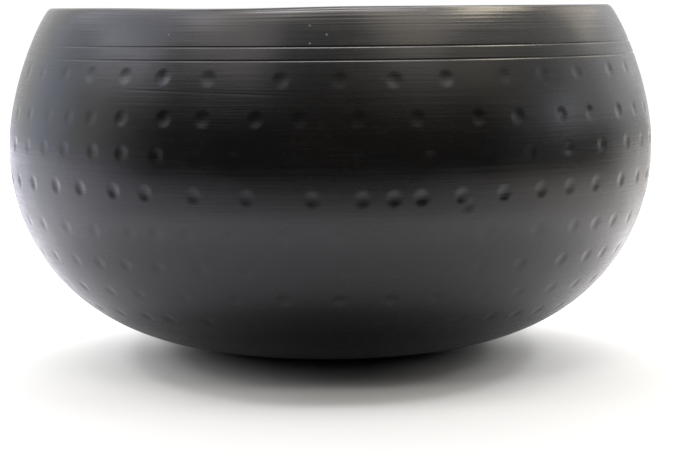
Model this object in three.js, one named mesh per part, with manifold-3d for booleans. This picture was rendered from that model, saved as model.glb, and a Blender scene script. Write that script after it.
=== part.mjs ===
// A hammered singing bowl: one shell of bronze, beaten from a disc, turned under the lip, struck
// in rows with a round-nosed punch and blackened. Sizes are in millimetres, with +Z up, -Y to the
// front and the origin at the middle of the foot.
import * as THREE from "three";
import { mergeVertices } from "three/addons/utils/BufferGeometryUtils.js";
import Module from "manifold-3d";

const { degToRad } = THREE.MathUtils;

// The outline, from the flat foot out to the belly and in to the mouth.
const HEIGHT = 79.3;
const FOOT_RADIUS = 27;
const BELLY_RADIUS = 75;
const BELLY_HEIGHT = 46;
const MOUTH_RADIUS = 65;

// Its two curves: how they set off and arrive, and how far they hold each direction.
const FOOT_SLOPE = degToRad(6);
const FOOT_SWEEP = 39.3;
const HAUNCH_SWEEP = 14.2;
const SHOULDER_SWEEP = 15;
const MOUTH_SLOPE = degToRad(43);
const MOUTH_SWEEP = 3.4;

// The metal: its thickness, and the lip, ground flat on top with its edges eased.
const WALL = 3;
const LIP_WIDTH = 4.2;
const LIP_EASE = 0.8;

// Two lines turned into the wall, at distances along it from the lip.
const LINES = [9.5, 12.5];
const LINE_WIDTH = 0.7;
const LINE_DEPTH = 0.35;

// The punch and its rows. Distances run along the wall from the lip.
const PUNCH_RADIUS = 4.4;
const PUNCH_DEPTH = 0.35;
const FIRST_ROW = 16.2;
const ROW_PITCH = 8.2;
const STRIKE_PITCH = 10.2;

// The strikes were set by eye, so the front of each row, top row first, is given strike by
// strike, in degrees to the right of the front. The rest of a row carries on at the strike pitch.
const FRONT_STRIKES = [
  [-62, -53, -45.5, -37, -29, -20.5, -8, 1.5, 10.5, 19.5, 30.5, 38.5, 47.5, 58.5],
  [-56, -49.5, -43.5, -36.5, -28, -21, -12, -5, 4.5, 14, 24.5, 32, 41.5, 49, 58.5, 66],
  [-63.5, -56.5, -50, -42.5, -36, -29, -22, -15.5, -7, 4.5, 16, 26, 34, 42.5, 51.5, 60.5],
  [-61.5, -53, -46, -38, -31.5, -22.5, -13.5, -3, 5, 10, 14.5, 22, 29, 36.5, 43, 50, 58.5],
  [-61.5, -52.5, -44.5, -36, -30.5, -24.5, -16.5, -8, 1, 10, 18.5, 26.5, 37, 46, 52.5, 59],
  [-62.5, -54, -46.5, -39.5, -32, -23.5, -15, -6, 2.5, 10.5, 19, 27, 35.5, 46, 54, 60.5],
  [-58.5, -48.5, -40, -29, -18.5, -9, 1.5, 11, 20, 29.5, 38.5, 48, 57],
  [-53, -43.5, -37, -27, -17, -7, 3.5, 12, 19.5, 27.5, 36, 43.5, 51],
];

// Each row rises and dips a little, three times round.
const ROW_WAVE = 0.6;
const WAVES = 3;
const WAVE_TURN = degToRad(5);

// One strike in the fourth row was made twice, the second a little lower.
const DOUBLE_ROW = 3;
const DOUBLE_TURN = degToRad(22.5);
const DOUBLE_DROP = 1.6;

// How finely the round forms are faceted.
const TURN_STEPS = 60;
const STRUCK_STEPS = 16;
const BAND_STEPS = 2;
const INSIDE_STEPS = 12;
const EASE_STEPS = 2;
const PUNCH_SIDES = 6;

const wasm = await Module();
wasm.setup();

function solidOf(geometry) {
  geometry.deleteAttribute("normal");
  geometry.deleteAttribute("uv");
  const { attributes, index } = mergeVertices(geometry);
  const vertProperties = attributes.position.array;
  const triVerts = new Uint32Array(index.array);
  return new wasm.Manifold(new wasm.Mesh({ numProp: 3, vertProperties, triVerts }));
}

function geometryOf(solid) {
  const { vertProperties, triVerts } = solid.getMesh();
  const geometry = new THREE.BufferGeometry();
  geometry.setAttribute("position", new THREE.BufferAttribute(vertProperties, 3));
  geometry.setIndex(new THREE.BufferAttribute(triVerts, 1));
  geometry.computeVertexNormals();
  return geometry;
}

function turned(section) {
  return solidOf(new THREE.LatheGeometry(section, TURN_STEPS).rotateX(Math.PI / 2));
}

const pointAt = (radius, height) => new THREE.Vector2(radius, height);
const heading = (slope, length) => pointAt(Math.cos(slope), Math.sin(slope)).multiplyScalar(length);

// The outside of the half section, as radius and height, from the foot's edge up to the mouth.
function outsideCurve() {
  const foot = pointAt(FOOT_RADIUS, 0);
  const belly = pointAt(BELLY_RADIUS, BELLY_HEIGHT);
  const mouth = pointAt(MOUTH_RADIUS, HEIGHT);
  const haunch = new THREE.CubicBezierCurve(
    foot,
    foot.clone().add(heading(FOOT_SLOPE, FOOT_SWEEP)),
    pointAt(BELLY_RADIUS, BELLY_HEIGHT - HAUNCH_SWEEP),
    belly,
  );
  const shoulder = new THREE.CubicBezierCurve(
    belly,
    pointAt(BELLY_RADIUS, BELLY_HEIGHT + SHOULDER_SWEEP),
    mouth.clone().add(heading(-MOUTH_SLOPE, MOUTH_SWEEP)),
    mouth,
  );
  const outside = new THREE.CurvePath();
  outside.add(haunch);
  outside.add(shoulder);
  return outside;
}

const outside = outsideCurve();
const wallRun = outside.getLength();

// A place on the wall, a distance along it from the lip: its point and the way out of the metal.
function placeOnWall(distance) {
  const share = 1 - distance / wallRun;
  const up = outside.getTangent(share);
  return { point: outside.getPoint(share), out: pointAt(up.y, -up.x) };
}

function shiftedPlace(distance, outward) {
  const { point, out } = placeOnWall(distance);
  return point.addScaledVector(out, outward);
}

// Evenly spaced points from one distance along the wall to another, moved out or in from it.
function stretch(from, to, steps, outward) {
  return Array.from({ length: steps + 1 }, (_, i) => shiftedPlace(from + ((to - from) * i) / steps, outward));
}

// The outside, bottom to top: the struck wall, and the plain band with its two V-shaped lines.
function outerSection() {
  const half = LINE_WIDTH / 2;
  const [upper, lower] = LINES;
  return [
    ...stretch(wallRun, lower + half, STRUCK_STEPS, 0),
    shiftedPlace(lower, -LINE_DEPTH),
    ...stretch(lower - half, upper + half, 1, 0),
    shiftedPlace(upper, -LINE_DEPTH),
    ...stretch(upper - half, LIP_EASE, BAND_STEPS, 0),
  ];
}

function easedEdge(from, corner, to) {
  return new THREE.QuadraticBezierCurve(from, corner, to).getPoints(EASE_STEPS);
}

function shell() {
  const outer = outerSection();
  const inner = stretch(LIP_EASE, wallRun, INSIDE_STEPS, -WALL);
  const outerCorner = pointAt(MOUTH_RADIUS, HEIGHT);
  const innerCorner = pointAt(MOUTH_RADIUS - LIP_WIDTH, HEIGHT);
  const ease = pointAt(LIP_EASE, 0);
  const downInside = inner[0].clone().sub(innerCorner).setLength(LIP_EASE);
  return turned([
    pointAt(0, 0),
    ...outer.slice(0, -1),
    ...easedEdge(outer.at(-1), outerCorner, outerCorner.clone().sub(ease)),
    ...easedEdge(innerCorner.clone().add(ease), innerCorner, innerCorner.clone().add(downInside)),
    ...inner.slice(1),
    pointAt(0, WALL),
  ]);
}

// The nose of the punch, pointing down -Y, cut plainly to a six-sided point. Its mark is as wide
// and deep as the round nose leaves it, and it stands clear of the wall by the same depth.
function punchNose() {
  const markRadius = Math.sqrt(PUNCH_DEPTH * (2 * PUNCH_RADIUS - PUNCH_DEPTH));
  return new THREE.LatheGeometry(
    [pointAt(0, -PUNCH_DEPTH), pointAt(2 * markRadius, PUNCH_DEPTH), pointAt(0, PUNCH_DEPTH)],
    PUNCH_SIDES,
  );
}

// The angles of one row's strikes: those on the front, then the rest in even steps.
function rowTurns(front, radius) {
  const open = 360 - (front.at(-1) - front[0]);
  const steps = Math.round((degToRad(open) * radius) / STRIKE_PITCH);
  const rest = Array.from({ length: steps - 1 }, (_, i) => front.at(-1) + (open * (i + 1)) / steps);
  return [...front, ...rest].map(degToRad);
}

function strike(nose, distance, turn) {
  const { point, out } = placeOnWall(distance);
  const around = new THREE.Vector3(Math.sin(turn), -Math.cos(turn), 0);
  const place = around.clone().multiplyScalar(point.x).setZ(point.y);
  const outward = around.clone().multiplyScalar(out.x).setZ(out.y);
  const aim = new THREE.Quaternion().setFromUnitVectors(new THREE.Vector3(0, 1, 0), outward);
  return solidOf(nose.clone().applyQuaternion(aim).translate(place.x, place.y, place.z));
}

function strikes() {
  const nose = punchNose();
  const marks = [];
  FRONT_STRIKES.forEach((front, row) => {
    const rowDistance = FIRST_ROW + row * ROW_PITCH;
    const waveAt = (turn) => ROW_WAVE * Math.cos(WAVES * (turn - WAVE_TURN));
    for (const turn of rowTurns(front, placeOnWall(rowDistance).point.x)) {
      marks.push(strike(nose, rowDistance + waveAt(turn), turn));
    }
    if (row === DOUBLE_ROW) {
      marks.push(strike(nose, rowDistance + waveAt(DOUBLE_TURN) + DOUBLE_DROP, DOUBLE_TURN));
    }
  });
  return marks;
}

function hammeredBowl() {
  const beaten = shell().subtract(wasm.Manifold.union(strikes()));
  const blackened = new THREE.MeshStandardMaterial({ color: 0x1c1c1e, roughness: 0.3, metalness: 0 });
  const bowl = new THREE.Mesh(geometryOf(beaten), blackened);
  bowl.name = "bowl";
  return bowl;
}

const part = new THREE.Group();
part.name = "hammered_bowl";
part.add(hammeredBowl());

export default part;
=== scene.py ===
"""A hammered singing bowl with a satin black finish, standing on a white studio table.

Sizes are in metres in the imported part's frame: +Z up, -Y to the front, the origin at the foot.
A turn is an angle round the bowl, from the front to the right. A run is a length along the
outside of the wall, from the lip down.
"""

from math import atan2, cos, degrees, pi, radians, sin

import bmesh
import bpy
import numpy as np
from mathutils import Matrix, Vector, geometry, kdtree


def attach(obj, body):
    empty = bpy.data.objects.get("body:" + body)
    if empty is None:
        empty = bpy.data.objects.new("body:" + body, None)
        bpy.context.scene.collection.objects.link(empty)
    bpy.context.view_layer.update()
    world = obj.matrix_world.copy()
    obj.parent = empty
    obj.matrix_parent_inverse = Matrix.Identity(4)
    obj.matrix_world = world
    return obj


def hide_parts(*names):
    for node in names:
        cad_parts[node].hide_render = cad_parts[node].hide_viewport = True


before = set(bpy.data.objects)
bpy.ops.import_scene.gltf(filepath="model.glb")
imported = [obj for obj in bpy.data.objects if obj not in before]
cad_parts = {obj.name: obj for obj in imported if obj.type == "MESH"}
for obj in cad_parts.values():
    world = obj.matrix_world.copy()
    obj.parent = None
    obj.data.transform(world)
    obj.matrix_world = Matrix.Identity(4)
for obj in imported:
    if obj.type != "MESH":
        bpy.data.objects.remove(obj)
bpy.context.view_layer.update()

# The bowl
# The real one is a single shell of bronze, beaten from a disc over a stake, with two lines turned
# under a flat-ground lip, rows of punch marks struck all round it, and a blackened satin finish.
MM = 0.001
HEIGHT = 79.3 * MM
FOOT_RADIUS = 27 * MM
BELLY_RADIUS = 74.96 * MM
BELLY_HEIGHT = 46 * MM
MOUTH_RADIUS = 65 * MM
# The outline's two curves, the haunch and the shoulder: how they set off and arrive, and how far
# they hold each direction.
FOOT_SLOPE = radians(6)
FOOT_SWEEP = 39.3 * MM
HAUNCH_SWEEP = 14.2 * MM
SHOULDER_SWEEP = 15 * MM
MOUTH_SLOPE = radians(43)
MOUTH_SWEEP = 3.4 * MM
HAUNCH_POINTS = 400
SHOULDER_POINTS = 300
# The wall's slope at a place is taken from this far above the place to this far below it.
SLOPE_REACH = 0.1 * MM

WALL = 3 * MM
LIP_WIDTH = 4.2 * MM
LIP_EASE = 0.8 * MM
EASE_POINTS = 6
# The lip was ground on a worn stone, which left a faint hollow across its left side.
LIP_HOLLOW = 0.45 * MM
LIP_HOLLOW_MIDDLE = -28 * MM
LIP_HOLLOW_REACH = 34 * MM
LIP_HOLLOW_DEPTH = 9 * MM

LINES = (9.5 * MM, 12.5 * MM)
LINE_WIDTH = 0.7 * MM
LINE_DEPTH = 0.135 * MM
# The tool bit less on the left.
LINE_SHALLOWS = 0.68
LINE_SHALLOWEST_TURN = radians(-80)

FIRST_ROW = 16.2 * MM
ROW_PITCH = 8.2 * MM
STRIKE_PITCH = 10.2 * MM
MARK_RADIUS = 2.1 * MM
MARK_DEPTH = 0.17 * MM
# No two strikes in turn were equally hard.
MARK_UNEVENNESS = 0.3
MARK_SWING = 7
# How hard each row was struck. The upper rows have lighter strikes towards the left.
ROW_WEIGHTS = (0.9, 0.95, 0.95, 1.35, 0.78, 0.78, 0.78, 0.85)
LIGHT_TURN = radians(-62)
LIGHT_REACH = radians(30)
LIGHT_SHARE = 0.5
LIGHT_ROWS = 3
# Single strikes, by row and turn, that barely marked the metal.
SOFT_STRIKES = {(2, 26): 0.3, (2, 34): 0.6, (0, 30.5): 0.6, (0, 38.5): 0.7, (0, 47.5): 0.7}
# The strikes on the front of each row, top row first, in degrees to the right of the front.
FRONT_STRIKES = (
    (-62, -53, -45.5, -37, -29, -20.5, -8, 1.5, 10.5, 19.5, 30.5, 38.5, 47.5, 58.5),
    (-56, -49.5, -43.5, -36.5, -28, -21, -12, -5, 4.5, 14, 24.5, 32, 41.5, 49, 58.5, 66),
    (-63.5, -56.5, -50, -42.5, -36, -29, -22, -15.5, -7, 4.5, 16, 26, 34, 42.5, 51.5, 60.5),
    (-61.5, -53, -46, -38, -31.5, -22.5, -13.5, -3, 5, 10, 14.5, 21.4, 29, 36.5, 43, 50, 58.5),
    (-61.5, -52.5, -44.5, -36, -30.5, -24.5, -16.5, -8, 1, 10, 18.5, 26.5, 37, 46, 52.5, 59),
    (-62.5, -54, -46.5, -39.5, -32, -23.5, -15, -6, 2.5, 10.5, 19, 27, 35.5, 46, 54, 60.5),
    (-58.5, -48.5, -40, -29, -18.5, -9, 1.5, 11, 20, 29.5, 38.5, 48, 57),
    (-53, -43.5, -37, -27, -17, -7, 3.5, 12, 19.5, 27.5, 36, 43.5, 51),
)
# Three of the upper rows rise and dip round the bowl. The others were set out level.
ROW_WAVE = 0.6 * MM
WAVY_ROWS = (0, 2, 3)
WAVES = 3
WAVE_TURN = radians(5)
# One strike of the fourth row was made twice, the second a little lower.
DOUBLE_ROW = 3
DOUBLE_TURN = radians(22.5)
DOUBLE_DROP = 1.9 * MM

# How finely the shell is cut: round it, down its outside and inside, and across each turned line,
# in widths of the line. The metal round each mark is cut finer still.
ROUND_STEPS = 280
OUTSIDE_STEP = 1.3 * MM
INSIDE_STEP = 2.6 * MM
RINGS_ACROSS_LINE = (-1.2, -0.5, -0.25, 0, 0.25, 0.5, 1.2)
CLOSEST_RINGS = 0.3 * MM
MARK_CUTS = 2
MARK_MARGIN = 0.6 * MM
TOUCHING = 1e-6


def heading(slope, length):
    """A step of that length outwards, rising at that slope."""
    return Vector((cos(slope), sin(slope))) * length


foot = Vector((FOOT_RADIUS, 0))
off_foot = foot + heading(FOOT_SLOPE, FOOT_SWEEP)
belly = Vector((BELLY_RADIUS, BELLY_HEIGHT))
under_belly = belly - Vector((0, HAUNCH_SWEEP))
over_belly = belly + Vector((0, SHOULDER_SWEEP))
mouth = Vector((MOUTH_RADIUS, HEIGHT))
under_mouth = mouth + heading(-MOUTH_SLOPE, MOUTH_SWEEP)
haunch = geometry.interpolate_bezier(foot, off_foot, under_belly, belly, HAUNCH_POINTS)
shoulder = geometry.interpolate_bezier(belly, over_belly, under_mouth, mouth, SHOULDER_POINTS)
outline = np.array([point[:2] for point in haunch + shoulder[1:]])[::-1]
outline_runs = np.concatenate(([0], np.cumsum(np.hypot(*np.diff(outline, axis=0).T))))
wall_run = float(outline_runs[-1])


def point_on_wall(run):
    """Radius and height of the outside there."""
    return Vector([float(np.interp(run, outline_runs, outline[:, column])) for column in (0, 1)])


def out_of_wall(run):
    """The way out of the metal there."""
    up = (point_on_wall(run - SLOPE_REACH) - point_on_wall(run + SLOPE_REACH)).normalized()
    return Vector((up.y, -up.x))


def eased_corner(start, corner, end):
    """Points round an eased edge, without its first."""
    leave = start.lerp(corner, 2 / 3)
    arrive = end.lerp(corner, 2 / 3)
    points = geometry.interpolate_bezier(start, leave, arrive, end, EASE_POINTS)
    return [point.xy for point in points[1:]]


def outer_runs():
    """Where the rings of the outside lie, with close ones across the turned lines."""
    even = np.linspace(wall_run, LIP_EASE, round((wall_run - LIP_EASE) / OUTSIDE_STEP))
    close = [line + part * LINE_WIDTH for line in LINES for part in RINGS_ACROSS_LINE]
    kept = [run for run in even if min(abs(run - other) for other in close) > CLOSEST_RINGS]
    return sorted(kept + close, reverse=True)


def half_section():
    """The shell's half section, with a run for each point: below zero over the lip and inside."""
    points = []
    for radius in np.arange(0, FOOT_RADIUS, INSIDE_STEP):
        points.append((Vector((radius, 0)), wall_run + FOOT_RADIUS - radius))
    for run in outer_runs():
        points.append((point_on_wall(run), run))

    top_out = Vector((MOUTH_RADIUS - LIP_EASE, HEIGHT))
    inner_corner = Vector((MOUTH_RADIUS - LIP_WIDTH, HEIGHT))
    top_in = inner_corner + Vector((LIP_EASE, 0))
    inside_runs = np.linspace(LIP_EASE, wall_run, round(wall_run / INSIDE_STEP))
    inside = [point_on_wall(run) - WALL * out_of_wall(run) for run in inside_runs]
    down_in = inner_corner + (inside[0] - inner_corner).normalized() * LIP_EASE
    over = eased_corner(points[-1][0], mouth, top_out) + [top_in]
    over += eased_corner(top_in, inner_corner, down_in) + inside[1:]
    for radius in np.arange(FOOT_RADIUS, INSIDE_STEP, -INSIDE_STEP)[1:]:
        over.append(Vector((radius, WALL)))
    over.append(Vector((0, WALL)))
    gone = 0
    for before, point in zip([points[-1][0]] + over, over):
        gone += (point - before).length
        points.append((point, LIP_EASE - gone))
    return points


def strikes():
    """Run, turn and weight of every punch mark."""
    marks = []
    for row, front in enumerate(FRONT_STRIKES):
        middle = FIRST_ROW + row * ROW_PITCH
        open_turn = 360 - (front[-1] - front[0])
        steps = round(radians(open_turn) * point_on_wall(middle).x / STRIKE_PITCH)
        turns = list(front) + [front[-1] + open_turn * i / steps for i in range(1, steps)]
        for strike in turns:
            turn = radians(strike)
            wave = cos(WAVES * (turn - WAVE_TURN)) if row in WAVY_ROWS else 1
            weight = 1 + MARK_UNEVENNESS * sin(MARK_SWING * len(marks))
            weight *= ROW_WEIGHTS[row] * SOFT_STRIKES.get((row, strike), 1)
            if row < LIGHT_ROWS:
                weight *= 1 - LIGHT_SHARE * max(0, 1 - ((turn - LIGHT_TURN) / LIGHT_REACH) ** 2)
            marks.append((middle + ROW_WAVE * wave, turn, weight))
        if row == DOUBLE_ROW:
            wave = cos(WAVES * (DOUBLE_TURN - WAVE_TURN))
            marks.append((middle + ROW_WAVE * wave + DOUBLE_DROP, DOUBLE_TURN, 1))
    return marks


def around(turn, radius, height):
    """A radius and a height, swung round the bowl's axis."""
    return Vector((radius * sin(turn), -radius * cos(turn), height))


def turn_of(place):
    """How far round the bowl a place lies."""
    return atan2(place.x, -place.y)


def spin_section(bm, run_layer):
    """Spins the half section once round."""
    wire = []
    for point, run in half_section():
        vert = bm.verts.new((0, -point.x, point.y))
        vert[run_layer] = run
        wire.append(vert)
    edges = [bm.edges.new(pair) for pair in zip(wire, wire[1:])]
    bmesh.ops.spin(
        bm,
        geom=wire + edges,
        axis=(0, 0, 1),
        cent=(0, 0, 0),
        angle=2 * pi,
        steps=ROUND_STEPS,
        use_merge=True,
    )
    bmesh.ops.remove_doubles(bm, verts=bm.verts, dist=TOUCHING)


def cut_round_marks(bm, run_layer, struck):
    """Cuts the outside finer round every punch mark."""
    near = set()
    for face in bm.faces:
        outside = all(LIP_EASE < vert[run_layer] < wall_run for vert in face.verts)
        if outside and struck.find(face.calc_center_median())[2] < MARK_RADIUS + MARK_MARGIN:
            near.update(face.edges)
    bmesh.ops.subdivide_edges(bm, edges=list(near), cuts=MARK_CUTS, use_grid_fill=True)


def line_dents(run, turn, upward):
    """Depth of each turned line there, and how it tilts the surface."""
    depth = LINE_DEPTH * (1 - LINE_SHALLOWS * max(0, cos(turn - LINE_SHALLOWEST_TURN)))
    for line in LINES:
        across = (run - line) / (LINE_WIDTH / 2)
        if abs(across) < 1:
            steep = depth * 4 * across * (1 - across**2) / (LINE_WIDTH / 2)
            yield depth * (1 - across**2) ** 2, steep * upward


def mark_dents(place, marks, struck):
    """Depth of each punch mark there, and how it tilts the surface."""
    for middle, index, away in struck.find_range(place, MARK_RADIUS):
        depth = MARK_DEPTH * marks[index][2]
        reach = away / MARK_RADIUS
        steep = depth * 4 * reach * (1 - reach**2) / MARK_RADIUS
        yield depth * (1 - reach**2) ** 2, -steep * (place - middle).normalized()


def press_in_dents(bm, run_layer, marks, struck):
    """Sets the outside on its exact outline, presses it in, and gives back every normal."""
    normals = []
    for vert in bm.verts:
        run = vert[run_layer]
        if not LIP_EASE - TOUCHING <= run <= wall_run:
            normals.append(vert.normal.copy())
            continue
        turn = turn_of(vert.co)
        out = out_of_wall(run)
        place = around(turn, *point_on_wall(run))
        outward = around(turn, *out)
        upward = around(turn, -out.y, out.x)
        pressed = 0
        tilt = Vector((0, 0, 0))
        dents = [*line_dents(run, turn, upward), *mark_dents(place, marks, struck)]
        for depth, leaning in dents:
            pressed += depth
            tilt += leaning
        vert.co = place - pressed * outward
        normals.append((outward + tilt).normalized())
    return normals


def wear_lip(bm, run_layer):
    """Lowers the lip into its faint hollow, which fades out down the wall."""
    for vert in bm.verts:
        from_lip = abs(vert[run_layer] + LIP_WIDTH / 2 - LIP_EASE)
        near_lip = max(0, 1 - from_lip / LIP_HOLLOW_DEPTH)
        off_middle = (vert.co.x - LIP_HOLLOW_MIDDLE) / LIP_HOLLOW_REACH
        if near_lip and abs(off_middle) < 1:
            vert.co.z -= LIP_HOLLOW * (1 - off_middle**2) ** 2 * near_lip**0.5


def hammered_shell():
    """The whole shell, with its lines, its punch marks and its worn lip."""
    marks = strikes()
    struck = kdtree.KDTree(len(marks))
    for index, (run, turn, _) in enumerate(marks):
        struck.insert(around(turn, *point_on_wall(run)), index)
    struck.balance()

    bm = bmesh.new()
    run_layer = bm.verts.layers.float.new("run")
    spin_section(bm, run_layer)
    cut_round_marks(bm, run_layer, struck)
    bmesh.ops.recalc_face_normals(bm, faces=bm.faces)
    bm.normal_update()
    normals = press_in_dents(bm, run_layer, marks, struck)
    wear_lip(bm, run_layer)
    for face in bm.faces:
        face.smooth = True
    mesh = bpy.data.meshes.new("hammered_shell")
    bm.to_mesh(mesh)
    bm.free()
    mesh.normals_split_custom_set_from_vertices(normals)
    return mesh


# The finish's colours: the black where it lies thick and thin, the bronze, and dust.
FINISH_IOR = 1.54
THICK_BLACK = (0.0032, 0.0032, 0.0035, 1)
THIN_BLACK = (0.0056, 0.0049, 0.0046, 1)
BARE_BRONZE = (0.09, 0.06, 0.028, 1)
DUST = (0.45, 0.44, 0.42, 1)
# Its textures: how close each one is, and how much detail it has. Most of each one lies between
# the faint and the full value.
CLOUDS = (45, 6)
MOTTLE = (380, 4)
STROKES = (1, 4)
RINGS = (0.55, 1)
BEATEN_WAVES = (70, 1)
FAINT = 0.3
FULL = 0.7
CLOUD_THICK = 0.35
CLOUD_THIN = 0.7
# The strokes and rings lie close together down the wall and are long round it.
STROKES_AROUND = 70
STROKES_DOWN = 2600
RINGS_AROUND = 0.12
# The rings show under the lip, and hardly below it.
RINGED_RUNS = (2 * MM, 7 * MM)
RINGED_BELOW = 0.15
# The bronze shows in the heaviest strokes along the lip, outside and inside.
WORN_RUNS_OUTSIDE = (1 * MM, 4 * MM)
WORN_RUNS_INSIDE = (-6 * MM, -4 * MM)
WORN_STROKES = (0.5, 0.72)
WORN_SHARE = 0.5
# The satin, and how far the strokes and the mottle make it rougher or smoother.
SATIN = (0.22, 0.29)
STROKE_ROUGHNESS = 0.03
MOTTLE_ROUGHNESS = 0.012
# Relief too fine for the mesh: how high it is, and what share of that shows.
WAVE_RELIEF = (0.3 * MM, 0.6)
STROKE_RELIEF = (0.03 * MM, 0.5)
RING_RELIEF = (0.12 * MM, 0.8)
GRAIN_RELIEF = (0.012 * MM, 0.25)
SCRATCH_RELIEF = (0.03 * MM, 0.45)
# A long scratch, nearly level, on the left of the front, which fades out at both ends.
SCRATCH_FALL = 0.0334
SCRATCH_HEIGHT = 60.82 * MM
SCRATCH_WIDTH = 0.6 * MM
SCRATCH_LEFT_END = (-62 * MM, -54 * MM)
SCRATCH_RIGHT_END = (-16 * MM, -6 * MM)
# Four specks of dust under the lip, in millimetres.
SPECK_RADIUS = 0.3 * MM
SPECKS = ((-33.8, -59.5, 73.7), (-4.1, -67.4, 75.4), (-0.6, -68.4, 73.5), (-4.1, -69.1, 71.7))


def feed(tree, socket, value):
    """Links another node's output to a socket, or sets the socket to a plain value."""
    if isinstance(value, bpy.types.NodeSocket):
        tree.links.new(value, socket)
    else:
        socket.default_value = value


def worked(tree, operation, *values):
    """What a sum of single values comes to."""
    node = tree.nodes.new("ShaderNodeMath")
    node.operation = operation
    for socket, value in zip(node.inputs, values):
        feed(tree, socket, value)
    return node.outputs["Value"]


def worked_place(tree, operation, result, *places):
    """What a sum of places comes to, as a single value or a place."""
    node = tree.nodes.new("ShaderNodeVectorMath")
    node.operation = operation
    for socket, place in zip(node.inputs, places):
        feed(tree, socket, place)
    return node.outputs[result]


def ranged(tree, value, low, high, to_low, to_high):
    """A value carried over from one range to another, and held within it."""
    node = tree.nodes.new("ShaderNodeMapRange")
    feed(tree, node.inputs["Value"], value)
    feed(tree, node.inputs["From Min"], low)
    feed(tree, node.inputs["From Max"], high)
    feed(tree, node.inputs["To Min"], to_low)
    feed(tree, node.inputs["To Max"], to_high)
    return node.outputs["Result"]


def ramped(tree, value, stops):
    """The colour that a value has between stops, each with its value and colour."""
    node = tree.nodes.new("ShaderNodeValToRGB")
    elements = node.color_ramp.elements
    for index, (at_value, colour) in enumerate(stops):
        stop = elements[index] if index < 2 else elements.new(1)
        stop.position = at_value
        stop.color = colour
    feed(tree, node.inputs["Fac"], value)
    return node.outputs["Color"]


def mixed(tree, share, first, second):
    """The first colour, with a share of the second."""
    node = tree.nodes.new("ShaderNodeMix")
    node.data_type = "RGBA"
    feed(tree, node.inputs["Factor"], share)
    feed(tree, node.inputs["A"], first)
    feed(tree, node.inputs["B"], second)
    return node.outputs["Result"]


def noise(tree, place, scale, detail):
    """An uneven texture, from 0 to 1."""
    node = tree.nodes.new("ShaderNodeTexNoise")
    feed(tree, node.inputs["Vector"], place)
    feed(tree, node.inputs["Scale"], scale)
    feed(tree, node.inputs["Detail"], detail)
    return node.outputs["Fac"]


def raised(tree, surface, height, distance, strength):
    """A surface with one more relief on it."""
    node = tree.nodes.new("ShaderNodeBump")
    feed(tree, node.inputs["Height"], height)
    feed(tree, node.inputs["Distance"], distance)
    feed(tree, node.inputs["Strength"], strength)
    if surface:
        feed(tree, node.inputs["Normal"], surface)
    return node.outputs["Normal"]


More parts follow.
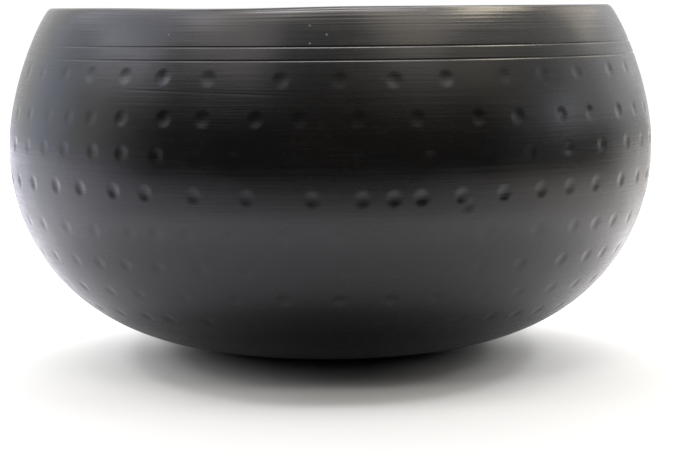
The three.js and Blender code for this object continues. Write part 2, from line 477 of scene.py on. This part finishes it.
def black_finish():
    """Satin black over bronze: rubbed down along the rings, softly clouded, thin at the lip."""
    material = bpy.data.materials.new("satin_black")
    material.use_nodes = True
    tree = material.node_tree
    shader = tree.nodes["Principled BSDF"]
    shader.inputs["IOR"].default_value = FINISH_IOR

    place = tree.nodes.new("ShaderNodeTexCoord").outputs["Object"]
    parted = tree.nodes.new("ShaderNodeSeparateXYZ")
    feed(tree, parted.inputs["Vector"], place)
    rightward = parted.outputs["X"]
    backward = parted.outputs["Y"]
    run_kept = tree.nodes.new("ShaderNodeAttribute")
    run_kept.attribute_name = "run"
    run = run_kept.outputs["Fac"]

    # Places drawn out along the rings, so that noise there turns into the strokes of the rubbing.
    drawn_out = tree.nodes.new("ShaderNodeCombineXYZ")
    feed(tree, drawn_out.inputs["X"], worked(tree, "MULTIPLY", rightward, STROKES_AROUND))
    feed(tree, drawn_out.inputs["Y"], worked(tree, "MULTIPLY", backward, STROKES_AROUND))
    feed(tree, drawn_out.inputs["Z"], worked(tree, "MULTIPLY", run, STROKES_DOWN))
    stroke_place = drawn_out.outputs["Vector"]
    ring_stretch = (RINGS_AROUND, RINGS_AROUND, 1)
    ring_place = worked_place(tree, "MULTIPLY", "Vector", stroke_place, ring_stretch)
    strokes = noise(tree, stroke_place, *STROKES)
    rings = noise(tree, ring_place, *RINGS)
    clouds = noise(tree, place, *CLOUDS)
    mottle = noise(tree, place, *MOTTLE)
    waves = noise(tree, place, *BEATEN_WAVES)

    # Where things show: 1 on the worn lip, the ringed band, the scratch and the specks.
    outside_lip = ranged(tree, run, *WORN_RUNS_OUTSIDE, 1, 0)
    near_lip = worked(tree, "MULTIPLY", outside_lip, ranged(tree, run, *WORN_RUNS_INSIDE, 0, 1))
    worn_strokes = ranged(tree, strokes, *WORN_STROKES, 0, WORN_SHARE)
    worn = worked(tree, "MULTIPLY", near_lip, worn_strokes)
    ringed = ranged(tree, run, *RINGED_RUNS, 1, RINGED_BELOW)
    level = worked_place(tree, "DOT_PRODUCT", "Value", place, (SCRATCH_FALL, 0, 1))
    from_scratch = worked(tree, "ABSOLUTE", worked(tree, "SUBTRACT", level, SCRATCH_HEIGHT))
    scratch = ranged(tree, from_scratch, 0, SCRATCH_WIDTH / 2, 1, 0)
    left_end = ranged(tree, backward, *SCRATCH_LEFT_END, 1, 0)
    right_end = ranged(tree, rightward, *SCRATCH_RIGHT_END, 1, 0)
    scratch = worked(tree, "MULTIPLY", scratch, left_end)
    scratch = worked(tree, "MULTIPLY", scratch, right_end)
    from_speck = 1
    for speck in SPECKS:
        away = worked_place(tree, "DISTANCE", "Value", place, Vector(speck) * MM)
        from_speck = worked(tree, "MINIMUM", away, from_speck)
    specked = ranged(tree, from_speck, SPECK_RADIUS / 2, SPECK_RADIUS, 1, 0)

    colour = ramped(tree, clouds, ((CLOUD_THICK, THICK_BLACK), (CLOUD_THIN, THIN_BLACK)))
    colour = mixed(tree, worn, colour, BARE_BRONZE)
    colour = mixed(tree, specked, colour, DUST)
    feed(tree, shader.inputs["Base Color"], colour)

    rough = ranged(tree, clouds, FAINT, FULL, *SATIN)
    for texture, part in ((strokes, STROKE_ROUGHNESS), (mottle, MOTTLE_ROUGHNESS)):
        rough = worked(tree, "ADD", rough, ranged(tree, texture, FAINT, FULL, -part, part))
    feed(tree, shader.inputs["Roughness"], rough)

    surface = raised(tree, None, waves, *WAVE_RELIEF)
    surface = raised(tree, surface, strokes, *STROKE_RELIEF)
    surface = raised(tree, surface, worked(tree, "MULTIPLY", rings, ringed), *RING_RELIEF)
    surface = raised(tree, surface, mottle, *GRAIN_RELIEF)
    surface = raised(tree, surface, worked(tree, "SUBTRACT", 1, scratch), *SCRATCH_RELIEF)
    feed(tree, shader.inputs["Normal"], surface)
    return material


bowl = bpy.data.objects.new("hammered_shell", hammered_shell())
bpy.context.collection.objects.link(bowl)
bowl.data.materials.append(black_finish())
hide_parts("bowl")
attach(bowl, "root")

# The table
# A white paper sheet that runs on behind the bowl. Away from the bowl it is lighter than the lamps
# make it, with painted light: a glow that is none right by the bowl and grows further out, to the
# eye and in gloss and glass. This paints the soft outer part of the bowl's shadow and the bright
# table that the bowl reflects, and so the paper meets the white of the room unseen.
# In gloss it is a little blue on the left and warm on the right, as from two unlike windows.
TABLE_WHITE = 0.8
TABLE_HALF_WIDTH = 6
PAPER_ROUGHNESS = 0.7
# How strong the painted glow is, by the distance from the middle of the bowl. To the sides, a
# distance counts for more.
PAINTED_GLOW_REACH = 0.6
PAINTED_EYE_GLOW = (
    (0.068, 0.0),
    (0.088, 0.09),
    (0.097, 0.25),
    (0.115, 0.35),
    (0.15, 0.43),
    (0.2, 0.48),
    (0.3, 0.65),
    (0.6, 1.0),
)
PAINTED_EYE_GLOW_SIDEWAYS = 1.95
PAINTED_GLOSS_GLOW = (
    (0.03, 0.01),
    (0.05, 0.06),
    (0.06, 0.16),
    (0.069, 0.52),
    (0.08, 0.76),
    (0.1, 0.92),
    (0.115, 1.1),
    (0.14, 1.5),
    (0.6, 1.35),
)
PAINTED_GLOSS_GLOW_SIDEWAYS = 1.15
# In gloss the paper's own white falls off with the distance, since the painted glow takes its
# place.
GLOSS_WHITE = ((0.1, 0.45), (0.5, 0.2))
GLOSS_LEFT_TINT = (0.86, 0.86, 1.03, 1)
GLOSS_RIGHT_TINT = (0.99, 0.955, 0.92, 1)
TINT_REACH = 0.2
WHITE = (1, 1, 1, 1)

table_mesh = bpy.data.meshes.new("table")
bm = bmesh.new()
bmesh.ops.create_grid(bm, x_segments=1, y_segments=1, size=TABLE_HALF_WIDTH)
bm.to_mesh(table_mesh)
bm.free()
table = bpy.data.objects.new("table", table_mesh)
bpy.context.collection.objects.link(table)

table_paper = bpy.data.materials.new("table_paper")
table_paper.use_nodes = True
table_mesh.materials.append(table_paper)
sheet = table_paper.node_tree
paper = sheet.nodes["Principled BSDF"]
paper.inputs["Roughness"].default_value = PAPER_ROUGHNESS
paper.inputs["Specular IOR Level"].default_value = 0
paper_place = sheet.nodes.new("ShaderNodeTexCoord").outputs["Object"]
paper_parted = sheet.nodes.new("ShaderNodeSeparateXYZ")
feed(sheet, paper_parted.inputs["Vector"], paper_place)


def grey_from_bowl(stops, sideways):
    """A grey that follows the distance from the bowl."""
    stretch = (sideways / PAINTED_GLOW_REACH, 1 / PAINTED_GLOW_REACH, 0)
    stretched = worked_place(sheet, "MULTIPLY", "Vector", paper_place, stretch)
    away = worked_place(sheet, "LENGTH", "Value", stretched)
    greys = [(distance / PAINTED_GLOW_REACH, (grey, grey, grey, 1)) for distance, grey in stops]
    return ramped(sheet, away, greys)


def shown_in_gloss(tree, ray):
    """1 in gloss and glass, but 0 once light has left a matt surface, so that it lights nothing."""
    gloss_or_glass = worked(tree, "MAXIMUM", ray["Is Glossy Ray"], ray["Is Transmission Ray"])
    straight = worked(tree, "LESS_THAN", ray["Diffuse Depth"], 1)
    return worked(tree, "MULTIPLY", gloss_or_glass, straight)


table_ray = sheet.nodes.new("ShaderNodeLightPath").outputs
table_in_gloss = shown_in_gloss(sheet, table_ray)
# Painted light: the paper glows, none by the bowl and more further out, to the eye and in gloss and
# glass.
painted_eye_glow = grey_from_bowl(PAINTED_EYE_GLOW, PAINTED_EYE_GLOW_SIDEWAYS)
painted_eye_glow = worked(sheet, "MULTIPLY", table_ray["Is Camera Ray"], painted_eye_glow)
painted_gloss_glow = grey_from_bowl(PAINTED_GLOSS_GLOW, PAINTED_GLOSS_GLOW_SIDEWAYS)
painted_table_glow = worked(sheet, "MULTIPLY_ADD", table_in_gloss, painted_gloss_glow, painted_eye_glow)
feed(sheet, paper.inputs["Emission Strength"], painted_table_glow)
table_side = ranged(sheet, paper_parted.outputs["X"], -TINT_REACH, TINT_REACH, 0, 1)
gloss_tint = mixed(sheet, table_side, GLOSS_LEFT_TINT, GLOSS_RIGHT_TINT)
feed(sheet, paper.inputs["Emission Color"], mixed(sheet, table_in_gloss, WHITE, gloss_tint))
gloss_white = grey_from_bowl(GLOSS_WHITE, 1)
table_white = ranged(sheet, table_in_gloss, 0, 1, TABLE_WHITE, gloss_white)
feed(sheet, paper.inputs["Base Color"], table_white)

# The flag
# A black cloth round the front of the table, in place of the dark room behind the camera. It
# thins out upwards, to the sides and towards the bowl, with two thin places beside the camera, a
# thin drape on the right and a low end that goes on from there. It shows only in the bowl's gloss.
CLOTH = (0.02, 0.018, 0.016, 1)
CLOTH_ROUGHNESS = 0.9
# Its section from the table up: the distance from the bowl, the height and how dense the weave is.
FLAG_OFF_TABLE = 0.001
FLAG_SECTION = (
    (0.118, FLAG_OFF_TABLE, 0.0),
    (0.142, FLAG_OFF_TABLE, 0.66),
    (0.175, FLAG_OFF_TABLE, 0.72),
    (0.21, FLAG_OFF_TABLE, 0.83),
    (0.28, FLAG_OFF_TABLE, 0.94),
    (0.45, FLAG_OFF_TABLE, 1.0),
    (0.45, 0.17, 1.0),
    (0.45, 0.21, 1.0),
    (0.45, 0.27, 0.9),
    (0.44, 0.40, 0.64),
    (0.40, 0.52, 0.4),
    (0.30, 0.63, 0.3),
    (0.18, 0.70, 0.15),
    (0.08, 0.73, 0.0),
)
FLAG_STEPS = 48
# It fades out this far to each side. On the right a low end goes on, with its weave by the turn
# in degrees.
FLAG_TURN = radians(88)
FLAG_FADE_TURN = radians(30)
FLAG_RIGHT_TURN = radians(150)
FLAG_RIGHT_WEAVE = ((102, 0.87), (112, 0.45), (119, 0.24), (130, 0.2), (138, 0.42), (150, 0.42))
FLAG_RIGHT_HEIGHT = 0.18
# What lies on the table thins out towards the bowl, most at the sides.
FLAG_LYING_HEIGHT = 0.01
FLAG_THINNING_ON_TABLE = 0.7
FLAG_THINNING_START = 0.36
FLAG_THINNING_REACH = 0.16
# It hangs from this height on, thinner to the sides. It droops there, and falls on the right.
FLAG_STAND = 0.45
FLAG_DROOP = 0.5
FLAG_FALL_TURN = radians(100)
FLAG_FALL = 0.8
# The two thin places, and the drape.
GAP_TURN = radians(30)
GAP_WIDTH = radians(18)
GAP_THINNING = 0.8
GAP_HEIGHT = 0.33
DRAPE_START_TURN = radians(55)
DRAPE_END_TURN = radians(95)
DRAPE_FADE_TURN = radians(8)
DRAPE_BOTTOM = 0.35
DRAPE_TOP = 0.55
DRAPE_WEAVE = 0.38


def held(share):
    """A share, held between none and all."""
    return min(1, max(0, share))


bm = bmesh.new()
weave = bm.verts.layers.float.new("weave")
hem = []
for radius, height, thick in FLAG_SECTION:
    vert = bm.verts.new(around(-FLAG_TURN, radius, height))
    vert[weave] = thick
    hem.append(vert)
hem_edges = [bm.edges.new(pair) for pair in zip(hem, hem[1:])]
bmesh.ops.spin(
    bm,
    geom=hem + hem_edges,
    axis=(0, 0, 1),
    cent=(0, 0, 0),
    angle=FLAG_TURN + FLAG_RIGHT_TURN,
    steps=FLAG_STEPS,
)
for vert in bm.verts:
    turn = turn_of(vert.co)
    height = vert.co.z
    thinning = held((FLAG_TURN - abs(turn)) / FLAG_FADE_TURN)
    if turn > 0 and height < FLAG_RIGHT_HEIGHT:
        thinning = max(thinning, float(np.interp(degrees(turn), *zip(*FLAG_RIGHT_WEAVE))))
    if height < FLAG_LYING_HEIGHT:
        nearness = held((FLAG_THINNING_START - vert.co.xy.length) / FLAG_THINNING_REACH)
        thinning *= 1 - FLAG_THINNING_ON_TABLE * nearness * sin(turn) ** 2
    if height > FLAG_STAND:
        thinning *= cos(turn) ** 2
    if height > GAP_HEIGHT:
        beside = min(1, abs(abs(turn) - GAP_TURN) / GAP_WIDTH)
        thinning *= 1 - GAP_THINNING * (1 - beside**2) ** 2
    vert[weave] *= thinning
    if DRAPE_START_TURN < turn < DRAPE_END_TURN and DRAPE_BOTTOM < height < DRAPE_TOP:
        from_end = min(DRAPE_END_TURN - turn, turn - DRAPE_START_TURN)
        vert[weave] = max(vert[weave], DRAPE_WEAVE * held(from_end / DRAPE_FADE_TURN))
    fall = 1 - FLAG_FALL * max(0, turn - FLAG_FALL_TURN)
    vert.co.z = max(FLAG_OFF_TABLE, height * fall * (1 - FLAG_DROOP * abs(sin(turn))))
flag_mesh = bpy.data.meshes.new("flag")
bm.to_mesh(flag_mesh)
bm.free()
flag = bpy.data.objects.new("flag", flag_mesh)
bpy.context.collection.objects.link(flag)
flag.visible_camera = False
flag.visible_shadow = False
flag.visible_diffuse = False

flag_cloth = bpy.data.materials.new("flag_cloth")
flag_cloth.use_nodes = True
flag_mesh.materials.append(flag_cloth)
cloth = flag_cloth.node_tree
thread = cloth.nodes["Principled BSDF"]
thread.inputs["Base Color"].default_value = CLOTH
thread.inputs["Roughness"].default_value = CLOTH_ROUGHNESS
open_weave = cloth.nodes.new("ShaderNodeBsdfTransparent")
woven = cloth.nodes.new("ShaderNodeAttribute")
woven.attribute_name = "weave"
cloth_mix = cloth.nodes.new("ShaderNodeMixShader")
feed(cloth, cloth_mix.inputs["Fac"], woven.outputs["Fac"])
feed(cloth, cloth_mix.inputs[1], open_weave.outputs["BSDF"])
feed(cloth, cloth_mix.inputs[2], thread.outputs["BSDF"])
feed(cloth, cloth.nodes["Material Output"].inputs["Surface"], cloth_mix.outputs["Shader"])

# The lamps
# Soft boxes 0.9 m from the bowl. Some light the table alone, as strips and panels round it, and
# some show in the bowl's gloss alone: a ceiling, a strip overhead and pale cards. Each has its
# turn from the front and its rise, in degrees, and its width, height, glow and tint.
LAMP_AIM = Vector((0, 0, 0.05))
LAMP_DISTANCE = 0.9
LAMPS = (
    ("front_strip", "both", 12, 77, 0.45, 0.12, 4, (1, 0.91, 0.84)),
    ("back_strip", "table", 180, 76, 0.8, 0.1, 5.3, (0.97, 0.98, 1)),
    ("left_corner", "table", -125, 62, 0.3, 0.25, 2.4, (1, 0.98, 0.96)),
    ("right_corner", "both", 134, 60, 0.3, 0.25, 5.5, (1, 0.93, 0.82)),
    ("left_lamp", "table", -75, 50, 0.3, 0.3, 1.3, (1, 0.92, 0.78)),
    ("right_lamp", "table", 75, 50, 0.3, 0.3, 1, (1, 0.92, 0.78)),
    ("back_low", "table", 180, 14, 2.2, 0.45, 12.2, (1, 0.99, 0.98)),
    ("left_low", "table", -120, 16, 0.7, 0.5, 4.5, (0.97, 0.98, 1)),
    ("right_low", "table", 120, 16, 0.7, 0.5, 1.8, (1, 0.98, 0.95)),
    ("overhead", "gloss", 10, 88, 0.6, 0.26, 8.5, (0.96, 0.93, 1)),
    ("ceiling", "gloss", 0, 72, 1.5, 0.45, 2.2, (1, 0.91, 0.86)),
    ("left_card", "gloss", -100, 46, 0.9, 0.6, 1.4, (0.76, 0.79, 1)),
    ("left_low_card", "gloss", -84, 26, 0.5, 0.2, 1.1, (0.9, 0.9, 1)),
    ("left_back_card", "gloss", -116, 13, 0.5, 0.42, 0.35, (0.3, 0.5, 1)),
    ("left_front_card", "gloss", -41, 40, 0.42, 0.3, 1.1, (1, 0.9, 0.88)),
    ("right_front_card", "gloss", 36, 48, 0.32, 0.42, 1.4, (1, 0.86, 0.66)),
    ("right_low_front_card", "gloss", 58, 27, 0.3, 0.22, 0.6, (1, 0.72, 0.36)),
    ("right_card", "gloss", 98, 53.5, 0.55, 0.2, 8.5, (1, 0.88, 0.68)),
    ("right_low_card", "gloss", 86, 12, 0.27, 0.13, 1.2, (0.75, 0.82, 1)),
    ("right_side_card", "gloss", 132, 14, 0.55, 0.28, 0.33, (0.9, 0.92, 1)),
    ("right_back_card", "gloss", 127, 28, 0.4, 0.24, 1.5, (1, 0.87, 0.68)),
)

for name, lit, turn, rise, width, height, glow, tint in LAMPS:
    lamp_data = bpy.data.lights.new(name, "AREA")
    lamp_data.shape = "RECTANGLE"
    lamp_data.size = width
    lamp_data.size_y = height
    lamp_data.energy = glow * pi * width * height
    lamp_data.color = tint
    toward = around(radians(turn), cos(radians(rise)), sin(radians(rise)))
    lamp = bpy.data.objects.new(name, lamp_data)
    lamp.location = LAMP_AIM + LAMP_DISTANCE * toward
    lamp.rotation_euler = toward.to_track_quat("Z", "Y").to_euler()
    lamp.visible_glossy = lit != "table"
    lamp.visible_diffuse = lit != "gloss"
    bpy.context.collection.objects.link(lamp)

# The room
# White to the eye and in gloss and glass, and otherwise a weak even fill.
ROOM_FILL = 0.02
ROOM_WHITE = 1

world = bpy.data.worlds.new("room")
bpy.context.scene.world = world
world.use_nodes = True
room = world.node_tree
room_ray = room.nodes.new("ShaderNodeLightPath").outputs
room_in_gloss = shown_in_gloss(room, room_ray)
room_shown = worked(room, "MAXIMUM", room_ray["Is Camera Ray"], room_in_gloss)
room_level = ranged(room, room_shown, 0, 1, ROOM_FILL, ROOM_WHITE)
room.nodes["Background"].inputs["Color"].default_value = WHITE
feed(room, room.nodes["Background"].inputs["Strength"], room_level)

# The camera
# It stands level with the lip, about 0.56 m from the bowl's middle, and looks slightly down.
CAMERA_DISTANCE = 0.5625
CAMERA_LENS = 126.7
CAMERA_SENSOR_WIDTH = 36
CAMERA_PITCH = radians(5.45)
CAMERA_YAW = radians(-0.25)
CAMERA_ROLL = radians(0.44)

camera_data = bpy.data.cameras.new("camera")
camera_data.lens = CAMERA_LENS
camera_data.sensor_width = CAMERA_SENSOR_WIDTH
camera = bpy.data.objects.new("camera", camera_data)
camera.location = (0, -CAMERA_DISTANCE, HEIGHT)
camera.rotation_euler = (pi / 2 - CAMERA_PITCH, CAMERA_ROLL, CAMERA_YAW)
bpy.context.collection.objects.link(camera)
bpy.context.scene.camera = camera

bpy.context.scene.view_settings.view_transform = "Standard"
